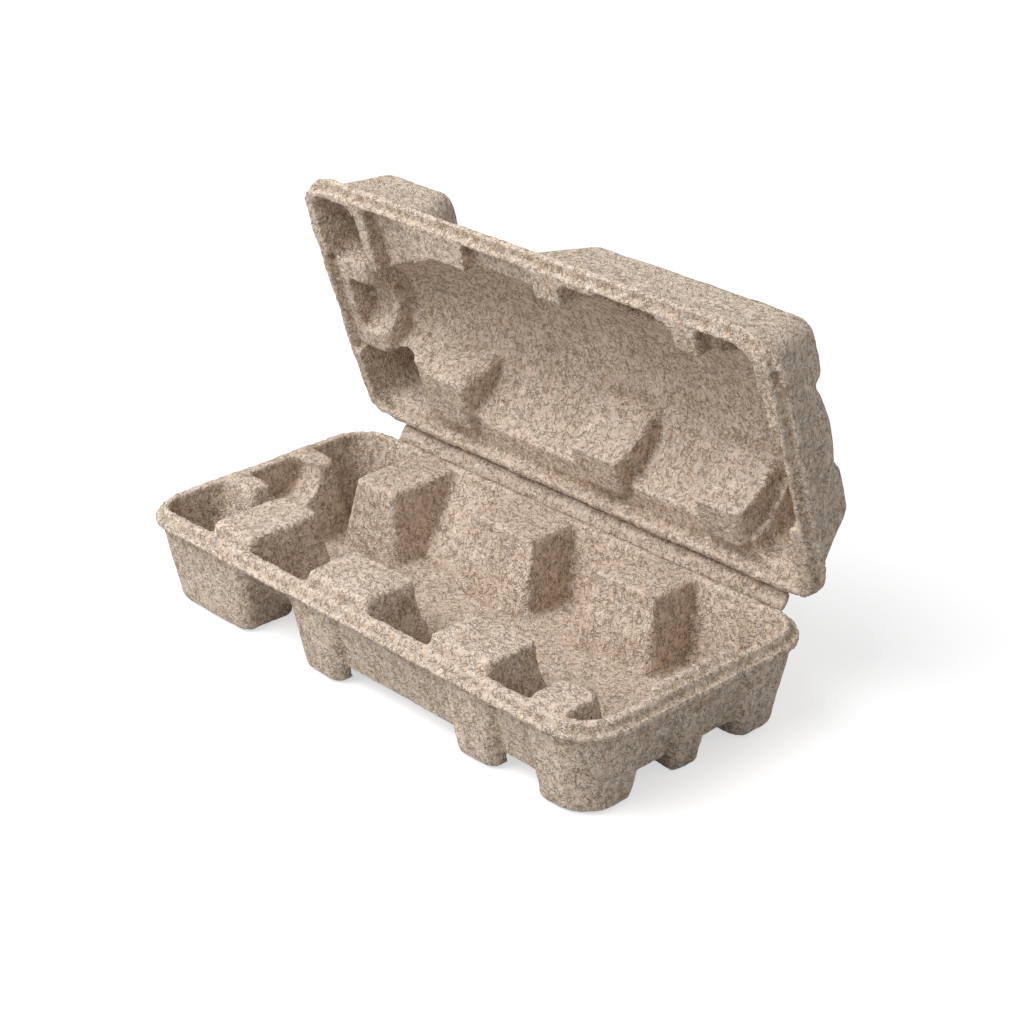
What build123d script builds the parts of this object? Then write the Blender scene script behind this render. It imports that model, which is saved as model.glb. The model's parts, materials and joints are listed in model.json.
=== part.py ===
from build123d import *
import os
from math import sin, cos, tan, radians

# Moulded pulp clamshell for one long round item: a deep tray with feet and a lid on a double crease.
# Sizes are in millimetres. Each half is drawn with its mating plane at z = 0 and its form below it,
# as it comes off the mould, and is then set in place.

# Overall sizes
length = 330.0
width = 158.0
tray_depth = 52.0
lid_depth = 48.0
corner_radius = 27.0
wall = 3.0
draft = 8.0

# Rim
lip_thickness = 3.5
lip_width = 4.5
land_step = 4.2
land_width = 4.5
rim_width = lip_width + land_width

# Cradle for the body, the shoulder and the neck
body_radius = 39.0
neck_radius = 16.5
body_end_margin = 13.0
neck_end_margin = 17.0
shoulder_start = -88.0
shoulder_end = -42.0

# Tray hull and feet
hull_lift = 10.0
hull_draft = 15.0
block_wall_draft = 12.0
foot_proud = 1.6
foot_depth = 34.0
corner_foot_depth = 46.0
foot_corner = 8.0
foot_outer_corner = 19.0
foot_edge_radius = 5.0
centre_foot_width = 26.0
centre_foot_depth = 24.0
centre_foot_setback = 8.0
foot_x_shares = ((-0.973, -0.50), (-0.31, -0.06), (0.37, 0.61), (0.70, 0.973))
notch_bite = 0.4
notch_depth = 2.5
notch_draft = 40.0
notch_corner = 7.0
notch_edge_radius = 2.0
notch_reach = 20.0

# Tray blocks, which stand above the mating plane and key into the lid
block_rise = 6.0
block_draft = 9.0
block_corner = 5.0
block_edge_radius = 3.0
block_reach = 34.0
neck_block_reach = 46.0
low_block_rise = 1.5
low_block_reach = 24.0
neck_block_x_shares = (-0.67, -0.49)
block_x_shares = ((-0.22, 0.05), (0.32, 0.56))
low_block_x_shares = (0.72, 0.86)

# Tray end saddles and deep corner pockets
saddle_length = 25.0
saddle_width = 58.0
saddle_rise = 3.0
end_block_width = 54.0
end_block_rise = 2.5
end_block_lap = 1.0
end_block_corner = 2.5
deep_pockets = (((-0.945, -0.69), -1), ((-0.945, -0.69), 1), ((0.73, 0.945), 1))
pocket_reach = 40.0
pocket_floor = 4.0
pocket_corner = 6.0
pocket_outer_corner = 13.0
pocket_floor_radius = 4.0
pocket_end_margin = 14.0
floor_radius = 8.0

# Lid hollow, bosses and blocks
hollow_half_width = 56.0
hollow_depth = 42.0
hollow_end_margin = 13.0
throat_half_width = 33.0
throat_depth = 30.0
channel_half_width = 23.0
channel_depth = 21.0
hollow_start_share = -0.38
throat_share = -0.68
hollow_edge_radius = 12.0
boss_x_shares = ((-0.97, -0.42), (-0.13, 0.97))
boss_end_drafts = ((13.0, 30.0), (30.0, 16.0))
boss_face_draft = 17.0
boss_depth = 64.0
boss_corner = 11.0
boss_edge_radius = 8.0
end_bump_width = 96.0
end_bump_length = 48.0
end_bump_depth = 35.0
end_bump_draft = 14.0
deck_depth = 10.5
recess_depth = 7.5
key_clearance = 2.0
lid_pockets = (((-0.93, -0.73), 1), ((0.17, 0.62), 1), ((0.73, 0.91), 1),
               ((-0.93, -0.70), -1), ((0.72, 0.91), -1))
lid_pocket_corner = 8.0
lid_pocket_reach = 46.0
lid_pocket_floor_radius = 5.0
lid_block_x_shares = ((-0.65, -0.46), (0.01, 0.21), (0.53, 0.70))
lid_block_near = 30.0
lid_block_far = 61.0
lid_block_drop = 2.5
lid_block_draft = 8.0
lid_ledge_drop = 0.5

# Fold strip and the pose that the part rests in
strip_thickness = 2.0
crease_gap = 0.3
closed_gap = 0.4
strip_angle = 36.0
cut_over = 5.0

half_length = length / 2
half_width = width / 2
lip_top = -land_step
lip_bottom = lip_top - lip_thickness
hull_inset = rim_width - wall
hull_bottom = hull_lift - tray_depth


def at_share(share):
    return half_length * share


def rim_form(inset, top, bottom, draft_angle):
    """A drafted block that follows the rim's outline at an inset."""
    with BuildPart() as form:
        with BuildSketch(Plane.XY.offset(top)):
            RectangleRounded(length - 2 * inset, width - 2 * inset, corner_radius - inset)
        extrude(amount=bottom - top, taper=draft_angle)
    return form.part


def uprights_of(form):
    """The edges between a block's two levels, nearest the middle of the half first."""
    uprights = form.edges().filter_by(Plane.XY, reverse=True)
    return sorted(uprights, key=lambda edge: abs(edge.center().X) + abs(edge.center().Y))


def tapered_block(x_from, x_to, y_from, y_to, top, bottom, draft_angle, corner, edge,
                  outer_corner=None, end_drafts=None):
    """A block drawn at its top level, which narrows downwards, or widens with a negative draft.
    Its two ends may have drafts of their own. Its corners are soft, and so is the edge round its
    narrow end."""
    start_draft, end_draft = end_drafts or (draft_angle, draft_angle)
    with BuildPart() as form:
        for level in (top, bottom):
            inset = (top - level) * tan(radians(draft_angle))
            x_start = x_from + (top - level) * tan(radians(start_draft))
            x_end = x_to - (top - level) * tan(radians(end_draft))
            with BuildSketch(Plane.XY.offset(level)):
                with Locations(((x_start + x_end) / 2, (y_from + y_to) / 2)):
                    Rectangle(x_end - x_start, y_to - y_from - 2 * inset)
        loft()
        fillet(uprights_of(form)[:3], corner)
        fillet(uprights_of(form)[-1], outer_corner or corner)
        ends = form.edges().group_by(Axis.Z)
        fillet(ends[-1] if draft_angle < 0 else ends[0], edge)
    return form.part


def sided_block(shares, side, near, far, *sizes, **corners):
    """A tapered block along the front (side -1) or the back (side 1), from near to far off the centre."""
    start_share, end_share = shares
    y_from, y_to = sorted((side * near, side * far))
    return tapered_block(at_share(start_share), at_share(end_share), y_from, y_to, *sizes, **corners)


def cradle_form(extra=0):
    """The space for the round item, turned about the mating plane's long centre line."""
    body_end = half_length - body_end_margin + extra
    neck_end = neck_end_margin - half_length - extra
    with BuildPart() as form:
        with BuildSketch(Plane.XZ):
            with BuildLine():
                Polyline((shoulder_end, body_radius + extra), (body_end, body_radius + extra), (body_end, 0),
                         (neck_end, 0), (neck_end, neck_radius + extra),
                         (shoulder_start, neck_radius + extra))
                Spline((shoulder_start, neck_radius + extra), (shoulder_end, body_radius + extra),
                       tangents=((1, 0), (1, 0)))
            make_face()
        revolve(axis=Axis.X)
    return form.part


def rim():
    """The outer lip and the raised land inside it."""
    with BuildPart() as form:
        add(rim_form(0, lip_top, lip_bottom, 0))
        add(rim_form(lip_width, 0, lip_bottom, -draft))
    return form.part


def hollow_form(extra=0):
    """The lid's long hollow below the mating plane: an elliptical trough with a throat and a channel."""
    hollow_end = half_length - hollow_end_margin + extra
    sections = ((hollow_end, hollow_half_width, hollow_depth),
                (at_share(hollow_start_share), hollow_half_width, hollow_depth),
                (at_share(throat_share), throat_half_width, throat_depth),
                (neck_end_margin - half_length - extra, channel_half_width, channel_depth))
    with BuildPart() as form:
        for section, next_section in zip(sections, sections[1:]):
            for x, half_span, depth in (section, next_section):
                with BuildSketch(Plane.YZ.offset(x)):
                    Ellipse(half_span + extra, depth + extra)
            loft()
        split(bisect_by=Plane.XY, keep=Keep.BOTTOM)
        end_face = form.faces().sort_by(Axis.X)[-1]
        fillet(end_face.edges().sort_by(Axis.Z)[0], hollow_edge_radius + extra)
    return form.part


# Tray feet: the outer ones follow the corners of the hull
foot_face = half_width - hull_inset + foot_proud
with BuildPart() as tray_feet:
    for number, (start_share, end_share) in enumerate(foot_x_shares):
        at_corner = number in (0, len(foot_x_shares) - 1)
        for side in (-1, 1):
            depth = corner_foot_depth if at_corner else foot_depth
            add(sided_block((start_share, end_share), side, foot_face - depth, foot_face,
                            lip_bottom, -tray_depth, draft, foot_corner, foot_edge_radius,
                            outer_corner=foot_outer_corner if at_corner else None))
    centre_end = half_length - centre_foot_setback
    add(tapered_block(centre_end - centre_foot_depth, centre_end, -centre_foot_width / 2,
                      centre_foot_width / 2, hull_bottom / 2, -tray_depth, draft,
                      foot_corner / 2, foot_edge_radius / 2))

# Tray blocks rise from the floor along both sides. The front ones stand above the mating plane.
block_face = half_width - rim_width
saddle_end = half_length - rim_width
body_end = half_length - body_end_margin
end_block_end = saddle_end + end_block_lap


def tray_block_forms(skin, bottom):
    """The blocks and saddles, or with a skin the hollows that open under them."""
    with BuildPart() as form:
        for side in (-1, 1):
            rise = (block_rise if side < 0 else 0) - skin
            corner = max(block_corner - skin, block_edge_radius)
            sizes = (rise, bottom, -block_draft, corner, block_edge_radius - skin / 3)
            reaches = [(shares, block_reach) for shares in block_x_shares]
            reaches.append((neck_block_x_shares, neck_block_reach))
            for (start_share, end_share), reach in reaches:
                y_from, y_to = sorted((side * (block_face - reach + skin), side * (block_face - skin)))
                in_foot = skin and reach == neck_block_reach
                add(tapered_block(at_share(start_share) + skin, at_share(end_share) - skin,
                                  y_from, y_to, *sizes,
                                  end_drafts=(-block_draft, block_draft) if in_foot else None))
        add(tapered_block(skin - saddle_end, saddle_length - saddle_end - skin, skin - saddle_width / 2,
                          saddle_width / 2 - skin, saddle_rise - skin, bottom, -block_draft,
                          max(block_corner - skin, block_edge_radius), block_edge_radius))
        if not skin:
            add(sided_block(low_block_x_shares, -1, block_face - low_block_reach, block_face,
                            low_block_rise, bottom, -block_draft, block_corner, block_edge_radius))
            add(tapered_block(body_end, end_block_end, -end_block_width / 2,
                              end_block_width / 2, end_block_rise, bottom, -block_draft / 2,
                              end_block_corner, end_block_corner / 2))
        block_inset = rim_width - wall / 2 + skin / 3
        add(rim_form(block_inset, block_rise, bottom, block_wall_draft), mode=Mode.INTERSECT)
        add(cradle_form(skin), mode=Mode.SUBTRACT)
    return form.part



def tray_notch_forms(skin):
    """The deep notches between the neck end's two feet, or with a skin the walls round them."""
    with BuildPart() as form:
        x_from = at_share(foot_x_shares[0][1]) - notch_bite - skin
        x_to = at_share(foot_x_shares[1][0]) + notch_bite + skin
        near = half_width - hull_inset - notch_depth - skin
        for side in (-1, 1):
            y_from, y_to = sorted((side * near, side * (half_width + notch_reach)))
            add(tapered_block(x_from, x_to, y_from, y_to, lip_bottom + skin, -tray_depth - cut_over,
                              -notch_draft, notch_corner, notch_edge_radius,
                              end_drafts=(-draft, -draft)))
        if skin:
            add(rim_form(hull_inset, lip_bottom + skin, hull_bottom, hull_draft), mode=Mode.INTERSECT)
    return form.part


# Tray inside: a trough with a soft floor, and deep pockets in three of the corner feet
with BuildPart() as tray_trough:
    add(rim_form(rim_width, 0, hull_bottom + wall, hull_draft))
    fillet(tray_trough.edges().group_by(Axis.Z)[0], floor_radius)
    for shares, side in deep_pockets:
        add(sided_block(shares, side, block_face - pocket_reach, block_face, 0, pocket_floor - tray_depth,
                        draft, pocket_corner, pocket_floor_radius, outer_corner=pocket_outer_corner))

with BuildPart() as base_tray:
    add(rim())
    add(rim_form(hull_inset, lip_bottom, hull_bottom, hull_draft))
    add(tray_feet.part)
    add(tray_trough.part, mode=Mode.SUBTRACT)
    add(tray_block_forms(0, hull_bottom))
    add(tray_notch_forms(wall))
    add(tray_block_forms(wall, -tray_depth - cut_over), mode=Mode.SUBTRACT)
    add(tray_notch_forms(0), mode=Mode.SUBTRACT)

# Lid outside: rim, deck, hollow and bosses
with BuildPart() as lid_bosses:
    for shares, end_drafts in zip(boss_x_shares, boss_end_drafts):
        for side in (-1, 1):
            add(sided_block(shares, side, half_width - hull_inset - boss_depth, half_width - hull_inset,
                            0, -lid_depth, boss_face_draft, boss_corner, boss_edge_radius,
                            end_drafts=end_drafts))

with BuildPart() as lid_outside:
    add(rim())
    add(rim_form(hull_inset, lip_bottom, -deck_depth, draft))
    add(hollow_form(wall))
    add(lid_bosses.part)
    bump_end = half_length - hull_inset
    add(tapered_block(bump_end - end_bump_length, bump_end, -end_bump_width / 2, end_bump_width / 2,
                      lip_bottom, -end_bump_depth, end_bump_draft, boss_corner, boss_edge_radius / 2))

# Lid inside: the hollow, pockets in the bosses and recesses that clear the tray's blocks
with BuildPart() as lid_inside:
    add(hollow_form())
    for shares, side in lid_pockets:
        add(sided_block(shares, side, block_face - lid_pocket_reach, block_face, 0, wall - lid_depth,
                        boss_face_draft, lid_pocket_corner, lid_pocket_floor_radius,
                        end_drafts=(draft, draft)))
    with BuildSketch(Plane.XY):
        for start_share, end_share in (*block_x_shares, neck_block_x_shares, low_block_x_shares):
            x_start = at_share(start_share) - key_clearance
            x_end = at_share(end_share) + key_clearance
            with Locations(((x_start + x_end) / 2, block_face / 2 + key_clearance / 2)):
                RectangleRounded(x_end - x_start, block_face + key_clearance, block_corner)
        with Locations((0, -block_face / 2)):
            RectangleRounded(2 * (half_length - pocket_end_margin), block_face, block_corner)
    extrude(amount=-recess_depth)
    with BuildSketch(Plane.XY):
        saddle_keys = (-saddle_end, saddle_length - saddle_end, saddle_width)
        end_block_keys = (body_end, end_block_end, end_block_width)
        for x_from, x_to, span in (saddle_keys, end_block_keys):
            with Locations(((x_from + x_to) / 2, 0)):
                Rectangle(x_to - x_from + key_clearance, span + 2 * key_clearance)
    extrude(amount=-saddle_rise - key_clearance)

with BuildPart() as lid_blocks:
    for shares in lid_block_x_shares:
        add(sided_block(shares, -1, lid_block_near, lid_block_far, -lid_block_drop, wall - lid_depth,
                        -lid_block_draft, block_corner, block_edge_radius))
    add(tapered_block(-saddle_end, saddle_length - saddle_end, -saddle_width / 2, saddle_width / 2,
                      -saddle_rise - lid_ledge_drop, -deck_depth - channel_depth, -block_draft,
                      block_corner, block_edge_radius))
    add(lid_outside.part, mode=Mode.INTERSECT)
    add(cradle_form(), mode=Mode.SUBTRACT)

with BuildPart() as lid:
    add(lid_outside.part)
    add(lid_inside.part, mode=Mode.SUBTRACT)
    add(lid_blocks.part)

# Fold strip, drawn flat between its two creases, level with the insides of both lips
strip_width = 2 * land_step + closed_gap
strip_length = length - 2 * corner_radius
with BuildPart() as hinge_strip:
    with BuildSketch(Plane.XY.offset(-strip_thickness)):
        with Locations((0, strip_width / 2)):
            Rectangle(strip_length, strip_width)
    extrude(amount=strip_thickness)

# Set the halves in the pose that they rest in, with the lid opened twice the strip's angle
crease_y = half_width + crease_gap
crease_z = tray_depth + lip_top
upper_y = crease_y + strip_width * sin(radians(strip_angle))
upper_z = crease_z + strip_width * cos(radians(strip_angle))
tray_place = Location((0, 0, tray_depth))
strip_place = Location((0, crease_y, crease_z), (90 - strip_angle, 0, 0))
lid_turn = Location((0, upper_y, upper_z), (180 - 2 * strip_angle, 0, 0))
lid_place = lid_turn * Location((0, half_width + crease_gap, -lip_top))
placed = [(base_tray.part, "base_tray", tray_place), (hinge_strip.part, "hinge_strip", strip_place),
          (lid.part, "lid", lid_place)]

solids = {name: place * part for part, name, place in placed}
box = solids["base_tray"].bounding_box().add(solids["lid"].bounding_box())
centre = Location((-box.center().X, -box.center().Y, -box.min.Z))
os.makedirs("parts", exist_ok=True)
for name, solid in solids.items():
    moved = centre * solid
    moved.label = name
    export_step(moved, f"parts/{name}.step")
print("tray crease", (centre * Location((0, crease_y, crease_z))).position)
print("lid crease", (centre * Location((0, upper_y, upper_z))).position)
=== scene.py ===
"""Looks of a moulded pulp clamshell insert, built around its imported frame."""

import json
import math

import bmesh
import bpy
import numpy as np
from bpy.props import FloatProperty, FloatVectorProperty, IntProperty, PointerProperty
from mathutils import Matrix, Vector, noise


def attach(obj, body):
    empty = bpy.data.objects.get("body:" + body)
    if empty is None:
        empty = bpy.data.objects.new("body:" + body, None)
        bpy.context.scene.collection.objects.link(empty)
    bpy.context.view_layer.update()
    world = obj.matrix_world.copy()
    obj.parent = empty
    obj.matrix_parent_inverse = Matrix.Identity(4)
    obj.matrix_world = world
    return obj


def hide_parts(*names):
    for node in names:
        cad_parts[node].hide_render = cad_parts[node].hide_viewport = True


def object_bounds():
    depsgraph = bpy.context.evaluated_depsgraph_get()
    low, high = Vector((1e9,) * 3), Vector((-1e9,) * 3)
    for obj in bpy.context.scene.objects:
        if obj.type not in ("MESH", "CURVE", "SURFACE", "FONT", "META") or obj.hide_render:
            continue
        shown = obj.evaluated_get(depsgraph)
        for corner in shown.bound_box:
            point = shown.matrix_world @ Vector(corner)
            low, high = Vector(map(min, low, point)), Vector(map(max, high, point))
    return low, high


bl_info = {
    "name": "Pulp Clamshell Insert",
    "version": (1, 0, 0),
    "blender": (4, 5, 0),
    "location": "3D View > Sidebar > Pulp Insert",
    "description": "Builds the pulp skins, the fold strip and the studio around the packed frame",
    "category": "Object",
}

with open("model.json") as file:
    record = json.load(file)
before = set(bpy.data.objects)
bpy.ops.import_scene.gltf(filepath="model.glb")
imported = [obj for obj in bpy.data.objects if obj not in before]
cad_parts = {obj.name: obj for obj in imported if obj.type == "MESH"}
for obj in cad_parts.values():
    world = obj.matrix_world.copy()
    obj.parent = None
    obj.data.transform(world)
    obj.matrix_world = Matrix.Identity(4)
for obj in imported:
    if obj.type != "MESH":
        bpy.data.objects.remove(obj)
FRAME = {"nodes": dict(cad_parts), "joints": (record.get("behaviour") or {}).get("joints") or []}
CAD_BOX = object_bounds()
CREASES = [np.array(joint["pos_m"]) for joint in FRAME["joints"]]

# how near two points of a CAD copy are joined
WELD_DISTANCE = 0.000002

# a skin's edges and hollows, from how far it stands out of its neighbourhood, in metres, and the
# painted shade in its hollows and painted highlight on its ridges
EDGE_PASSES = 6
EDGE_BULGE = 0.0005
HOLLOW_PASSES = 10
HOLLOW_DEPTH = 0.0006
HOLLOW_SHADE = 0.7
RIDGE_HEIGHT = 0.0009
RIDGE_LIGHT = 0.16

# the painted shade along a crease, on the halves and on the strip
CREASE_WIDTH = 0.0022
CREASE_SHADE = 0.45
STRIP_SHADE = 0.08
STRIP_CREASE_SHADE = 0.6
STRIP_CREASE_START = 0.72
STRIP_CREASE_RUN = 0.2

# the strip's lumps as shares of the halves', and how its edge is drawn out
STRIP_LUMP_SIZE = 0.6
STRIP_LUMP_HEIGHT = 0.5
TRAY_LAP_SHARE = 0.65
LAP_START = 1.2

# the studio
WHITE = (1.0, 1.0, 1.0, 1.0)
FLOOR_SIZE = 40.0
FLOOR_GAP = 0.0002
FLOOR_GREY = 0.56
KEY_DISTANCE = 2.0
SENSOR_WIDTH = 36.0


class PulpSkinSettings(bpy.types.PropertyGroup):
    """Sizes of the pulp sheet's lumps and rough edges."""

    voxel: FloatProperty(
        name="Voxel",
        description="Size of the remesh that turns a CAD half into a pulp skin",
        default=0.00125,
        min=0.0008,
        unit="LENGTH",
    )
    triangle_limit: IntProperty(
        name="Triangle Limit",
        description="How many triangles one skin keeps, most of them along its edges",
        default=190000,
        min=20000,
    )
    strip_voxel: FloatProperty(
        name="Strip Voxel",
        description="Size of the remesh of the thin fold strip",
        default=0.0007,
        min=0.0004,
        unit="LENGTH",
    )
    soften_passes: IntProperty(
        name="Softening",
        description="How often the skin is smoothed, which rounds the moulded edges",
        default=1,
        min=0,
    )
    wave_height: FloatProperty(
        name="Wave Height",
        description="How far the walls wander in and out over a few centimetres",
        default=0.0005,
        unit="LENGTH",
    )
    wave_size: FloatProperty(
        name="Wave Size",
        description="Width of one wander of a wall",
        default=0.024,
        unit="LENGTH",
    )
    lump_height: FloatProperty(
        name="Lump Height",
        description="Height of the pulp's lumps",
        default=0.00022,
        unit="LENGTH",
    )
    lump_size: FloatProperty(
        name="Lump Size",
        description="Width of one lump",
        default=0.0062,
        unit="LENGTH",
    )
    ragged_height: FloatProperty(
        name="Ragged Height",
        description="How far the lips and block edges are torn in and out",
        default=0.0006,
        unit="LENGTH",
    )
    ragged_size: FloatProperty(
        name="Ragged Size",
        description="Length of one tear along an edge",
        default=0.003,
        unit="LENGTH",
    )
    shrinkage: FloatProperty(
        name="Shrinkage",
        description="How far the dried skin draws back from the mould on the whole",
        default=0.0002,
        unit="LENGTH",
    )
    most_proud: FloatProperty(
        name="Most Proud",
        description="Most that a lump stands out, so that the shut lips don't press together",
        default=0.00018,
        unit="LENGTH",
    )
    crease_reach: FloatProperty(
        name="Crease Reach",
        description="Width beside each crease where the lips stay even, to meet the strip",
        default=0.005,
        unit="LENGTH",
    )
    strip_swell: FloatProperty(
        name="Strip Swell",
        description="How far the fold strip is plumped up between its creases",
        default=0.0006,
        unit="LENGTH",
    )
    crease_depth: FloatProperty(
        name="Crease Depth",
        description="Depth of the strip's edge that is drawn towards the lips",
        default=0.0009,
        unit="LENGTH",
    )
    strip_lap: FloatProperty(
        name="Strip Lap",
        description="How far the strip's edge is drawn to the lid's lip, and less to the tray's",
        default=0.0009,
        unit="LENGTH",
    )


class PulpColourSettings(bpy.types.PropertyGroup):
    """Colours of the pulp, its fibres and its painted shade."""

    sheet: FloatVectorProperty(
        name="Sheet",
        description="Main colour of the pulp",
        default=(0.85, 0.7, 0.57),
        subtype="COLOR",
        size=3,
    )
    # the shade colour also paints the shade in the hollows and along the creases
    shade: FloatVectorProperty(
        name="Shade",
        description="Colour of the pulp's darker patches and crevices",
        default=(0.40, 0.29, 0.19),
        subtype="COLOR",
        size=3,
    )
    pale_fibre: FloatVectorProperty(
        name="Pale Fibre",
        description="Colour of the bleached fibres",
        default=(0.96, 0.88, 0.78),
        subtype="COLOR",
        size=3,
    )
    dark_fibre: FloatVectorProperty(
        name="Dark Fibre",
        description="Colour of the brown fibres",
        default=(0.26, 0.17, 0.1),
        subtype="COLOR",
        size=3,
    )
    gold_fibre: FloatVectorProperty(
        name="Gold Fibre",
        description="Colour of the straw fibres",
        default=(0.62, 0.40, 0.18),
        subtype="COLOR",
        size=3,
    )
    fleck: FloatVectorProperty(
        name="Fleck",
        description="Colour of the near-black flecks",
        default=(0.05, 0.04, 0.035),
        subtype="COLOR",
        size=3,
    )


class StudioSettings(bpy.types.PropertyGroup):
    """Camera, lamps and floor."""

    azimuth: FloatProperty(
        name="Azimuth",
        description="Turn of the camera round the part, from the front towards the body end",
        default=math.radians(46.4),
        subtype="ANGLE",
    )
    elevation: FloatProperty(
        name="Elevation",
        description="Height of the camera as an angle over the floor",
        default=math.radians(25.8),
        subtype="ANGLE",
    )
    distance: FloatProperty(
        name="Distance",
        description="Distance from the camera to its target",
        default=1.1898,
        unit="LENGTH",
    )
    target: FloatVectorProperty(
        name="Target",
        description="Point that the camera looks at",
        default=(0.0354, -0.0196, 0.0906),
        subtype="TRANSLATION",
        size=3,
    )
    lens: FloatProperty(
        name="Lens",
        description="Focal length on a 36 mm sensor",
        default=87.55,
        unit="CAMERA",
    )
    key_strength: FloatProperty(
        name="Key Strength",
        description="Strength of the soft key lamp",
        default=1.4,
    )
    key_softness: FloatProperty(
        name="Key Softness",
        description="Angle that the key lamp fills, which softens its shadow",
        default=math.radians(38),
        subtype="ANGLE",
    )
    key_azimuth: FloatProperty(
        name="Key Azimuth",
        description="Side that the key lamp stands on, measured as the camera's is",
        default=math.radians(-14),
        subtype="ANGLE",
    )
    key_elevation: FloatProperty(
        name="Key Elevation",
        description="Height of the key lamp as an angle over the floor",
        default=math.radians(54),
        subtype="ANGLE",
    )
    sky_strength: FloatProperty(
        name="Sky Strength",
        description="Strength of the even light from all round",
        default=0.46,
    )
    panel_power: FloatProperty(
        name="Panel Power",
        description="Power of the broad lamp panel over the front, which fills the lid's hollow",
        default=1.9,
        unit="POWER",
    )
    panel_size: FloatProperty(
        name="Panel Size",
        description="Width of the lamp panel",
        default=0.5,
        unit="LENGTH",
    )
    panel_place: FloatVectorProperty(
        name="Panel Place",
        description="Where the lamp panel hangs",
        default=(-0.16, -0.43, 0.52),
        subtype="TRANSLATION",
        size=3,
    )
    floor_lift: FloatProperty(
        name="Floor Lift",
        description="Light added to the floor for the camera alone",
        default=0.61,
    )


class NodeBench:
    """Short calls for building one node tree."""

    def __init__(self, tree):
        self.tree = tree
        tree.nodes.clear()

    def add(self, kind, values=None, **settings):
        """Adds a node, sets it up, and links or fills its inputs."""
        node = self.tree.nodes.new(kind)
        for key, value in settings.items():
            setattr(node, key, value)
        for key, value in (values or {}).items():
            if isinstance(value, bpy.types.NodeSocket):
                self.tree.links.new(value, node.inputs[key])
            else:
                node.inputs[key].default_value = value
        return node

    def maths(self, kind, first, second=None):
        """One step of arithmetic on one or two values."""
        values = {0: first} if second is None else {0: first, 1: second}
        return self.add("ShaderNodeMath", values, operation=kind).outputs[0]

    def weighted(self, *pairs):
        """The sum of several values, each times its own weight."""
        total = None
        for value, weight in pairs:
            part = self.maths("MULTIPLY", value, weight)
            total = part if total is None else self.maths("ADD", total, part)
        return total

    def vector(self, kind, first, second=None):
        """One step of arithmetic on one or two vectors."""
        values = {0: first} if second is None else {0: first, 1: second}
        node = self.add("ShaderNodeVectorMath", values, operation=kind)
        return node.outputs["Value" if kind == "DOT_PRODUCT" else "Vector"]

    def scaled(self, first, factor):
        """A vector times a value."""
        values = {0: first, "Scale": factor}
        return self.add("ShaderNodeVectorMath", values, operation="SCALE").outputs["Vector"]

    def ramp(self, value, low, high, to_low=0.0, to_high=1.0):
        """A value eased from one end to the other as it goes from low to high."""
        values = {0: value, 1: low, 2: high, 3: to_low, 4: to_high}
        node = self.add("ShaderNodeMapRange", values, interpolation_type="SMOOTHSTEP")
        return node.outputs[0]

    def blend(self, factor, first, second):
        """Two colours mixed by a factor."""
        values = {0: factor, 6: first, 7: second}
        return self.add("ShaderNodeMix", values, data_type="RGBA").outputs[2]

    def noise(self, place, scale, **inputs):
        """A noise texture at a place, with any of its inputs set by name."""
        values = {"Vector": place, "Scale": scale}
        values.update({key.capitalize(): value for key, value in inputs.items()})
        return self.add("ShaderNodeTexNoise", values).outputs

    def finish(self, kind, shader):
        """Ends the tree with an output node that takes the shader."""
        self.add(kind, {"Surface": shader})


def fibre_group():
    """One straight or bent fibre in each cell of a random grid, lying in the surface."""
    group = bpy.data.node_groups.get("pulp_fibres")
    if group:
        return group
    group = bpy.data.node_groups.new("pulp_fibres", "ShaderNodeTree")
    face = group.interface
    for name in ("Place", "Facing"):
        face.new_socket(name=name, in_out="INPUT", socket_type="NodeSocketVector")
    for name in ("Cells", "Half Length", "Half Width", "Share", "Bend"):
        face.new_socket(name=name, in_out="INPUT", socket_type="NodeSocketFloat")
    face.new_socket(name="Fibre", in_out="OUTPUT", socket_type="NodeSocketFloat")
    bench = NodeBench(group)
    inlet = bench.add("NodeGroupInput").outputs
    middle = (0.5, 0.5, 0.5)

    # one cell of the grid, read at a place that is pushed about so that its fibre bends
    wander = bench.noise(inlet["Place"], 260.0, detail=1.0)["Color"]
    shift = bench.vector("SUBTRACT", wander, middle)
    place = bench.vector("ADD", inlet["Place"], bench.scaled(shift, inlet["Bend"]))
    cells = bench.add("ShaderNodeTexVoronoi", {"Vector": place, "Scale": inlet["Cells"]}).outputs
    local = bench.vector("SUBTRACT", place, cells["Position"])

    # the way its fibre runs, laid flat in the surface
    lean = bench.vector("SUBTRACT", cells["Color"], middle)
    into = bench.vector("DOT_PRODUCT", lean, inlet["Facing"])
    flat = bench.vector("SUBTRACT", lean, bench.scaled(inlet["Facing"], into))
    run = bench.vector("NORMALIZE", flat)
    across = bench.vector("CROSS_PRODUCT", inlet["Facing"], run)

    # how near the place is to it, and whether the cell keeps one
    along = bench.maths("ABSOLUTE", bench.vector("DOT_PRODUCT", local, run))
    aside = bench.maths("ABSOLUTE", bench.vector("DOT_PRODUCT", local, across))
    width, length = inlet["Half Width"], inlet["Half Length"]
    slim = bench.ramp(aside, bench.maths("MULTIPLY", width, 0.4), width, 1.0, 0.0)
    short = bench.ramp(along, bench.maths("MULTIPLY", length, 0.7), length, 1.0, 0.0)
    chance = bench.add("ShaderNodeSeparateColor", {0: cells["Color"]}).outputs["Blue"]
    kept = bench.maths("LESS_THAN", chance, inlet["Share"])
    fibre = bench.maths("MULTIPLY", bench.maths("MULTIPLY", slim, short), kept)
    bench.add("NodeGroupOutput", {"Fibre": fibre})
    return group


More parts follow.
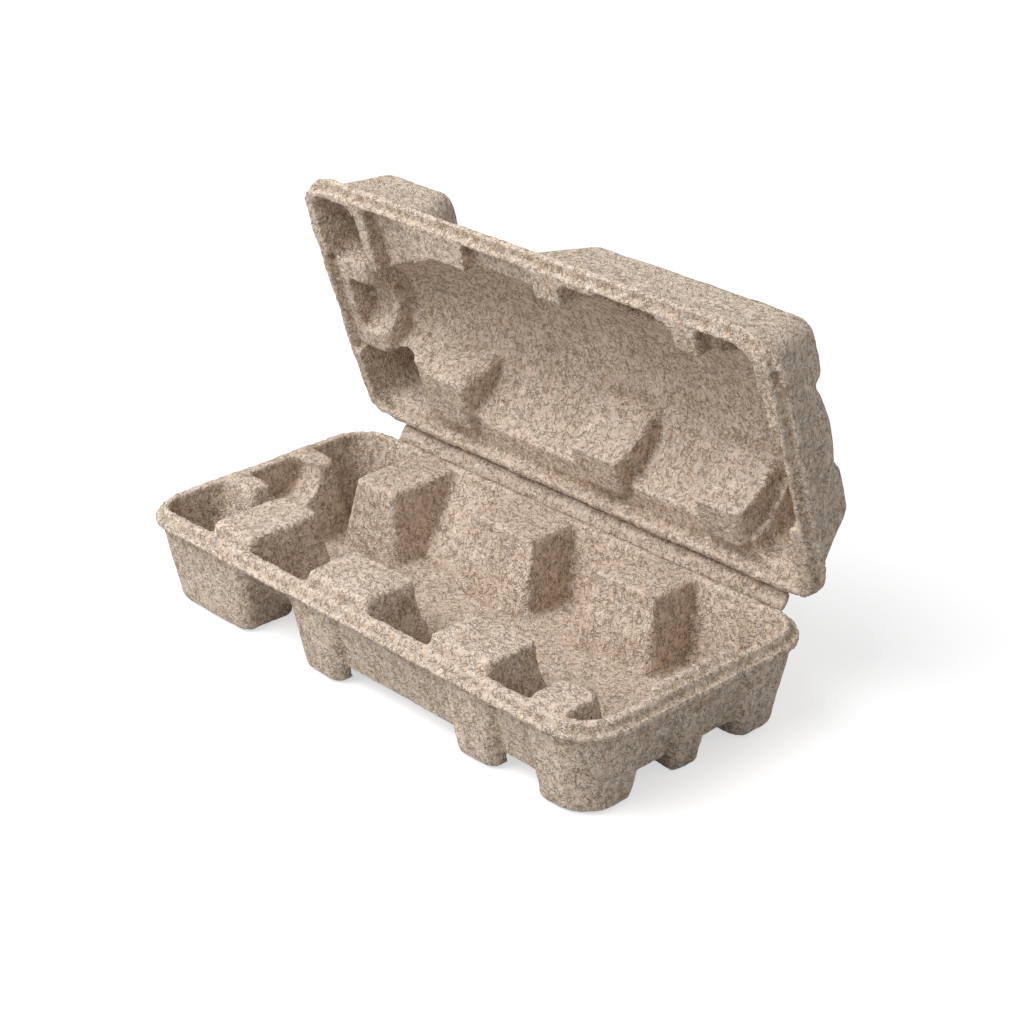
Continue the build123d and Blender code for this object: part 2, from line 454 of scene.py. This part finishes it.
def pulp_material(name, colours, offset):
    """Moulded pulp: mottled sheet, painted shade in the crevices, three kinds of fibre, flecks and
    a grainy bump.
    """
    material = bpy.data.materials.new(name)
    material.use_nodes = True
    bench = NodeBench(material.node_tree)
    coords = bench.add("ShaderNodeTexCoord").outputs
    place = bench.vector("ADD", coords["Object"], offset)
    facing = coords["Normal"]

    def coat(paint, mask, strength, tint):
        """Lays a colour over the paint where the mask lets it."""
        return bench.blend(bench.maths("MULTIPLY", mask, strength), paint, (*tint, 1.0))

    def fibres(shift, cells, half_length, half_width, share, bend):
        """Straight or bent fibres, their sizes in metres and their cells per metre."""
        values = {
            "Place": bench.vector("ADD", place, shift),
            "Facing": facing,
            "Cells": cells,
            "Half Length": half_length,
            "Half Width": half_width,
            "Share": share,
            "Bend": bend,
        }
        return bench.add("ShaderNodeGroup", values, node_tree=fibre_group()).outputs["Fibre"]

    def grain(scale, detail, roughness=0.5):
        """Plain noise at the piece's own place."""
        return bench.noise(place, scale, detail=detail, roughness=roughness)[0]

    def hairs(shift, scale, half_width, share):
        """Curly hairs: the level lines of a soft noise, broken up by a second one."""
        moved = bench.vector("ADD", place, shift)
        level = bench.noise(moved, scale, detail=1.0, distortion=0.8)[0]
        off = bench.maths("ABSOLUTE", bench.maths("SUBTRACT", level, 0.5))
        line = bench.ramp(off, half_width * 0.35, half_width, 1.0, 0.0)
        gate = bench.noise(moved, scale * 0.9, detail=0.0)["Color"]
        kept = bench.ramp(gate, 1.0 - share - 0.06, 1.0 - share + 0.06)
        return bench.maths("MULTIPLY", line, kept)

    # mottled sheet, upright streaks on the walls, and the painted shade in the crevices and
    # painted highlight on the ridges
    painted_shading = bench.add("ShaderNodeAttribute", attribute_name="painted_shading").outputs["Fac"]
    mottle = bench.ramp(grain(60.0, 3.0), 0.38, 0.66)
    patch = bench.ramp(grain(230.0, 3.0, 0.7), 0.42, 0.64)
    speck = bench.ramp(grain(900.0, 2.0, 0.6), 0.45, 0.62)
    lift = bench.add("ShaderNodeSeparateXYZ", {0: facing}).outputs["Z"]
    wall = bench.ramp(bench.maths("ABSOLUTE", lift), 0.35, 0.75, 1.0, 0.0)
    upright = bench.vector("MULTIPLY", place, (1.0, 1.0, 0.16))
    streak = bench.ramp(bench.noise(upright, 420.0, detail=2.0)[0], 0.46, 0.66)
    streak = bench.maths("MULTIPLY", streak, wall)
    dark = bench.weighted((mottle, 0.1), (patch, 0.2), (speck, 0.18), (streak, 0.3), (painted_shading, 1.0))
    dark = bench.add("ShaderNodeClamp", {0: dark}).outputs[0]
    paint = bench.blend(dark, (*colours.sheet, 1.0), (*colours.shade, 1.0))

    # straight fibres
    pale = fibres(
        shift=(0.0, 0.0, 0.0),
        cells=300.0,
        half_length=0.0019,
        half_width=0.00032,
        share=0.8,
        bend=0.0016,
    )
    brown = fibres(
        shift=(0.11, 0.43, 0.27),
        cells=280.0,
        half_length=0.002,
        half_width=0.00024,
        share=0.4,
        bend=0.0022,
    )
    straw = fibres(
        shift=(0.71, 0.13, 0.61),
        cells=210.0,
        half_length=0.0026,
        half_width=0.0003,
        share=0.2,
        bend=0.0012,
    )

    # curly hairs among them
    pale_hair = hairs((0.31, 0.17, 0.05), scale=300.0, half_width=0.05, share=0.5)
    brown_hair = hairs((0.51, 0.23, 0.37), scale=300.0, half_width=0.036, share=0.5)
    brown_down = hairs((0.67, 0.83, 0.19), scale=430.0, half_width=0.04, share=0.45)
    pale = bench.maths("MAXIMUM", pale, pale_hair)
    brown = bench.maths("MAXIMUM", brown, bench.maths("MAXIMUM", brown_hair, brown_down))
    paint = coat(paint, pale, 0.64, colours.pale_fibre)
    paint = coat(paint, brown, 0.64, colours.dark_fibre)
    paint = coat(paint, straw, 0.65, colours.gold_fibre)

    # near-black flecks, in a few of the cells of a random grid
    cells = bench.add("ShaderNodeTexVoronoi", {"Vector": place, "Scale": 210.0}).outputs
    chance = bench.add("ShaderNodeSeparateColor", {0: cells["Color"]}).outputs["Red"]
    few = bench.maths("LESS_THAN", chance, 0.12)
    dot = bench.ramp(cells["Distance"], 0.07, 0.15, 1.0, 0.0)
    paint = coat(paint, bench.maths("MULTIPLY", dot, few), 0.75, colours.fleck)

    # grainy, hairy surface
    coarse = grain(300.0, 4.0, 0.65)
    fine = grain(800.0, 2.0)
    height = bench.weighted((coarse, 1.6), (fine, 0.9), (pale, 0.5), (straw, 0.4), (brown, -0.5))
    bump = bench.add("ShaderNodeBump", {"Strength": 1.0, "Distance": 0.001, "Height": height})
    values = {
        "Base Color": paint,
        "Roughness": 0.92,
        "Specular IOR Level": 0.2,
        "Normal": bump.outputs[0],
    }
    shader = bench.add("ShaderNodeBsdfPrincipled", values)
    bench.finish("ShaderNodeOutputMaterial", shader.outputs[0])
    return material


def new_object(name, data):
    """Stands a new object with that data in the scene."""
    thing = bpy.data.objects.new(name, data)
    bpy.context.scene.collection.objects.link(thing)
    return thing


def apply_modifier(piece, kind, **settings):
    """Adds one modifier to the piece and applies it."""
    modifier = piece.modifiers.new(kind.lower(), kind)
    for key, value in settings.items():
        setattr(modifier, key, value)
    bpy.context.view_layer.objects.active = piece
    bpy.ops.object.modifier_apply(modifier=modifier.name)


def welded_copy(node, name):
    """A copy of a CAD node with its split faces joined, ready to be remeshed."""
    mesh = FRAME["nodes"][node].data.copy()
    work = bmesh.new()
    work.from_mesh(mesh)
    bmesh.ops.remove_doubles(work, verts=work.verts, dist=WELD_DISTANCE)
    work.to_mesh(mesh)
    work.free()
    mesh.materials.clear()
    return new_object(name, mesh)


def read_points(mesh):
    """The mesh's points and their normals as two tables of numbers."""
    points = np.zeros(len(mesh.vertices) * 3)
    normals = np.zeros(len(mesh.vertices) * 3)
    mesh.vertices.foreach_get("co", points)
    mesh.vertex_normals.foreach_get("vector", normals)
    return points.reshape(-1, 3), normals.reshape(-1, 3)


def neighbour_mean(mesh, values, passes):
    """Values at the points, averaged with their neighbours' a few times."""
    edges = np.zeros(len(mesh.edges) * 2, int)
    mesh.edges.foreach_get("vertices", edges)
    first, second = edges.reshape(-1, 2).T
    size = len(values)
    count = np.maximum(np.bincount(edges, minlength=size).astype(float), 1.0)
    for _ in range(passes):
        total = np.zeros_like(values)
        for axis, column in enumerate(values.T):
            total[:, axis] = np.bincount(first, column[second], size)
            total[:, axis] += np.bincount(second, column[first], size)
        values = 0.5 * values + 0.5 * total / count[:, None]
    return values


def bulge_of(mesh, points, normals, passes):
    """How far each point stands out of its neighbourhood, in metres."""
    mean = neighbour_mean(mesh, points, passes)
    return np.einsum("ij,ij->i", points - mean, normals)


def rough_noise(points, size, seed, octaves=3):
    """Seeded lumpy noise between about -1 and 1 at each point."""
    shift = Vector((seed * 1.7, seed * 2.3, seed * 3.1))
    return np.array(
        [noise.fractal(Vector(point) / size + shift, 1.0, 2.0, octaves) for point in points]
    )


def part_of_one(values):
    """Values held between 0 and 1."""
    return np.clip(values, 0.0, 1.0)


def crease_distance(points):
    """How far each point lies from the nearer crease."""
    return np.min([np.hypot(*(points[:, 1:] - crease[1:]).T) for crease in CREASES], axis=0)


def store_painted_shading(mesh, values):
    """Keeps each point's painted shade for the pulp material, more in a hollow, less on a ridge,
    where it becomes a painted highlight.
    """
    layer = mesh.attributes.new("painted_shading", "FLOAT", "POINT")
    layer.data.foreach_set("value", values.astype(np.float32))


def pulp_skin(piece, settings, seed, lowest=None):
    """Turns a welded CAD copy into a lumpy pulp skin with soft, ragged edges."""
    apply_modifier(piece, "REMESH", mode="VOXEL", voxel_size=settings.voxel, use_smooth_shade=True)
    apply_modifier(piece, "SMOOTH", factor=0.5, iterations=settings.soften_passes)
    mesh = piece.data

    # waves, lumps and torn edges, calm beside the creases
    points, normals = read_points(mesh)
    edge = part_of_one(bulge_of(mesh, points, normals, EDGE_PASSES) / EDGE_BULGE)
    waves = rough_noise(points, settings.wave_size, seed, octaves=2) * settings.wave_height
    lumps = rough_noise(points, settings.lump_size, seed + 5) * settings.lump_height
    torn = rough_noise(points, settings.ragged_size, seed + 9) * settings.ragged_height
    move = np.minimum(waves + lumps + edge * torn - settings.shrinkage, settings.most_proud)
    move *= part_of_one(crease_distance(points) / settings.crease_reach)
    points = points + normals * move[:, None]
    if lowest is not None:
        points[:, 2] = np.maximum(points[:, 2], lowest)
    mesh.vertices.foreach_set("co", points.ravel())
    mesh.update()

    # painted shade in the hollows and along the creases, and a painted highlight on the ridges
    points, normals = read_points(mesh)
    bulge = bulge_of(mesh, points, normals, HOLLOW_PASSES)
    painted_shading = HOLLOW_SHADE * part_of_one(-bulge / HOLLOW_DEPTH)
    painted_shading -= RIDGE_LIGHT * part_of_one(bulge / RIDGE_HEIGHT)
    painted_shading += CREASE_SHADE * part_of_one(1.0 - crease_distance(points) / CREASE_WIDTH)
    store_painted_shading(mesh, painted_shading)

    # fewer triangles, most of them kept where the skin bends
    triangles = 2 * len(mesh.polygons)
    if triangles > settings.triangle_limit:
        apply_modifier(piece, "DECIMATE", ratio=settings.triangle_limit / triangles)
    piece.data.shade_smooth()


def finish_piece(piece, node, body, material):
    """Gives a skin its material, and ties it to the frame."""
    piece.data.materials.append(material)
    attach(piece, body)
    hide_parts(node)


class PULP_OT_tray(bpy.types.Operator):
    """Builds the pulp skin of the tray."""

    bl_idname = "pulp.tray"
    bl_label = "Tray Skin"

    def execute(self, context):
        scene = context.scene
        piece = welded_copy("base_tray", "tray_skin")
        pulp_skin(piece, scene.pulp_skin, seed=3, lowest=0.0)
        material = pulp_material("tray_pulp", scene.pulp_colours, offset=(0.0, 0.0, 0.0))
        finish_piece(piece, "base_tray", "tray", material)
        return {"FINISHED"}


class PULP_OT_lid(bpy.types.Operator):
    """Builds the pulp skin of the lid."""

    bl_idname = "pulp.lid"
    bl_label = "Lid Skin"

    def execute(self, context):
        scene = context.scene
        piece = welded_copy("lid", "lid_skin")
        pulp_skin(piece, scene.pulp_skin, seed=11)
        material = pulp_material("lid_pulp", scene.pulp_colours, offset=(0.9, 0.4, 0.7))
        finish_piece(piece, "lid", "lid", material)
        return {"FINISHED"}


class PULP_OT_strip(bpy.types.Operator):
    """Builds the creased strip between the two halves."""

    bl_idname = "pulp.strip"
    bl_label = "Fold Strip"

    def execute(self, context):
        scene = context.scene
        settings = scene.pulp_skin
        piece = welded_copy("hinge_strip", "strip_skin")
        voxel = settings.strip_voxel
        apply_modifier(piece, "REMESH", mode="VOXEL", voxel_size=voxel, use_smooth_shade=True)
        mesh = piece.data
        points, normals = read_points(mesh)

        # where each point lies, from -1 at the tray's crease to 1 at the lid's, and how deep
        across = CREASES[1] - CREASES[0]
        span = np.linalg.norm(across)
        upward = np.array((0.0, -across[2], across[1])) / span
        sides = np.clip(2 * ((points - CREASES[0]) @ across) / span**2 - 1, -1.0, 1.0)
        depth = (CREASES[0] - points) @ upward

        # plumped between the creases, with its upper edges drawn out towards both lips
        lump_size = settings.lump_size * STRIP_LUMP_SIZE
        lumps = rough_noise(points, lump_size, seed=21) * settings.lump_height * STRIP_LUMP_HEIGHT
        plump = settings.strip_swell * (1 - sides**2)
        points = points + normals * (lumps + plump)[:, None]
        reach = settings.strip_lap * np.where(sides > 0, 1.0, TRAY_LAP_SHARE)
        lap = reach / span * part_of_one(LAP_START - depth / settings.crease_depth)
        points = points + (sides * lap)[:, None] * across
        mesh.vertices.foreach_set("co", points.ravel())
        # painted shade on the strip, a little all over and more towards each crease
        crease = part_of_one((np.abs(sides) - STRIP_CREASE_START) / STRIP_CREASE_RUN)
        store_painted_shading(mesh, STRIP_SHADE + STRIP_CREASE_SHADE * crease)
        mesh.shade_smooth()
        material = pulp_material("strip_pulp", scene.pulp_colours, offset=(0.2, 0.8, 0.3))
        finish_piece(piece, "hinge_strip", "strip", material)
        return {"FINISHED"}


def aim(thing, place, target):
    """Stands a lamp or camera at a place and points it at a target."""
    thing.location = place
    thing.rotation_mode = "QUATERNION"
    thing.rotation_quaternion = (Vector(target) - Vector(place)).to_track_quat("-Z", "Y")


def direction(azimuth, elevation):
    """Unit vector from the part towards a camera or lamp at those angles."""
    level = math.cos(elevation)
    return Vector((math.sin(azimuth) * level, -math.cos(azimuth) * level, math.sin(elevation)))


class PULP_OT_stage(bpy.types.Operator):
    """Builds the floor, the lamps, the pale surroundings and the camera."""

    bl_idname = "pulp.stage"
    bl_label = "Studio Stage"

    def execute(self, context):
        scene = context.scene
        studio = scene.pulp_studio

        # white floor that keeps the shadow
        mesh = bpy.data.meshes.new("studio_floor")
        half = FLOOR_SIZE / 2
        corners = [(-half, -half, 0), (half, -half, 0), (half, half, 0), (-half, half, 0)]
        mesh.from_pydata(corners, [], [(0, 1, 2, 3)])
        floor = new_object("studio_floor", mesh)
        floor.location.z = CAD_BOX[0][2] - FLOOR_GAP
        material = bpy.data.materials.new("white_floor")
        material.use_nodes = True
        bench = NodeBench(material.node_tree)
        grey = (FLOOR_GREY, FLOOR_GREY, FLOOR_GREY, 1.0)
        matt = bench.add("ShaderNodeBsdfDiffuse", {"Color": grey})
        path = bench.add("ShaderNodeLightPath").outputs["Is Camera Ray"]
        lift = bench.maths("MULTIPLY", path, studio.floor_lift)
        glow = bench.add("ShaderNodeEmission", {"Color": WHITE, "Strength": lift})
        both = bench.add("ShaderNodeAddShader", {0: matt.outputs[0], 1: glow.outputs[0]})
        bench.finish("ShaderNodeOutputMaterial", both.outputs[0])
        mesh.materials.append(material)

        # soft key lamp
        lamp = bpy.data.lights.new("key_lamp", "SUN")
        lamp.energy = studio.key_strength
        lamp.angle = studio.key_softness
        key = new_object("key_lamp", lamp)
        side = direction(studio.key_azimuth, studio.key_elevation)
        aim(key, side * KEY_DISTANCE, (0, 0, 0))

        # broad panel over the front
        lamp = bpy.data.lights.new("panel_lamp", "AREA")
        lamp.energy = studio.panel_power
        lamp.size = studio.panel_size
        panel = new_object("panel_lamp", lamp)
        panel.visible_camera = False
        aim(panel, studio.panel_place, studio.target)

        # even light from all round, white to the camera
        world = bpy.data.worlds.new("studio_world")
        scene.world = world
        world.use_nodes = True
        bench = NodeBench(world.node_tree)
        path = bench.add("ShaderNodeLightPath").outputs["Is Camera Ray"]
        even = {"Color": WHITE, "Strength": studio.sky_strength}
        plain = bench.add("ShaderNodeBackground", even).outputs[0]
        white = bench.add("ShaderNodeBackground", {"Color": WHITE, "Strength": 1.0}).outputs[0]
        mixed = bench.add("ShaderNodeMixShader", {0: path, 1: plain, 2: white})
        bench.finish("ShaderNodeOutputWorld", mixed.outputs[0])

        # camera at the photograph's viewing angle
        lens = bpy.data.cameras.new("camera")
        lens.sensor_width = SENSOR_WIDTH
        lens.sensor_fit = "HORIZONTAL"
        lens.lens = studio.lens
        lens.clip_start = 0.01
        lens.clip_end = 100.0
        camera = new_object("camera", lens)
        target = Vector(studio.target)
        back = direction(studio.azimuth, studio.elevation)
        aim(camera, target + back * studio.distance, target)
        scene.camera = camera
        scene.view_settings.view_transform = "Standard"
        return {"FINISHED"}


class PULP_PT_panel(bpy.types.Panel):
    """Buttons for the pieces of the pulp insert."""

    bl_label = "Pulp Insert"
    bl_space_type = "VIEW_3D"
    bl_region_type = "UI"
    bl_category = "Pulp Insert"

    def draw(self, context):
        for step in STEPS:
            self.layout.operator(step.bl_idname)
        scene = context.scene
        for group in (scene.pulp_skin, scene.pulp_colours, scene.pulp_studio):
            box = self.layout.box()
            for name in group.__annotations__:
                box.prop(group, name)


STEPS = (PULP_OT_tray, PULP_OT_lid, PULP_OT_strip, PULP_OT_stage)
CLASSES = (PulpSkinSettings, PulpColourSettings, StudioSettings, *STEPS, PULP_PT_panel)


def register():
    """Adds the classes and their settings to Blender."""
    for kind in CLASSES:
        bpy.utils.register_class(kind)
    bpy.types.Scene.pulp_skin = PointerProperty(type=PulpSkinSettings)
    bpy.types.Scene.pulp_colours = PointerProperty(type=PulpColourSettings)
    bpy.types.Scene.pulp_studio = PointerProperty(type=StudioSettings)


def unregister():
    """Takes the settings and classes out again."""
    del bpy.types.Scene.pulp_studio
    del bpy.types.Scene.pulp_colours
    del bpy.types.Scene.pulp_skin
    for kind in reversed(CLASSES):
        bpy.utils.unregister_class(kind)


def main():
    """Builds every piece and the stage."""
    register()
    bpy.ops.pulp.tray()
    bpy.ops.pulp.lid()
    bpy.ops.pulp.strip()
    bpy.ops.pulp.stage()


if __name__ == "__main__":
    main()
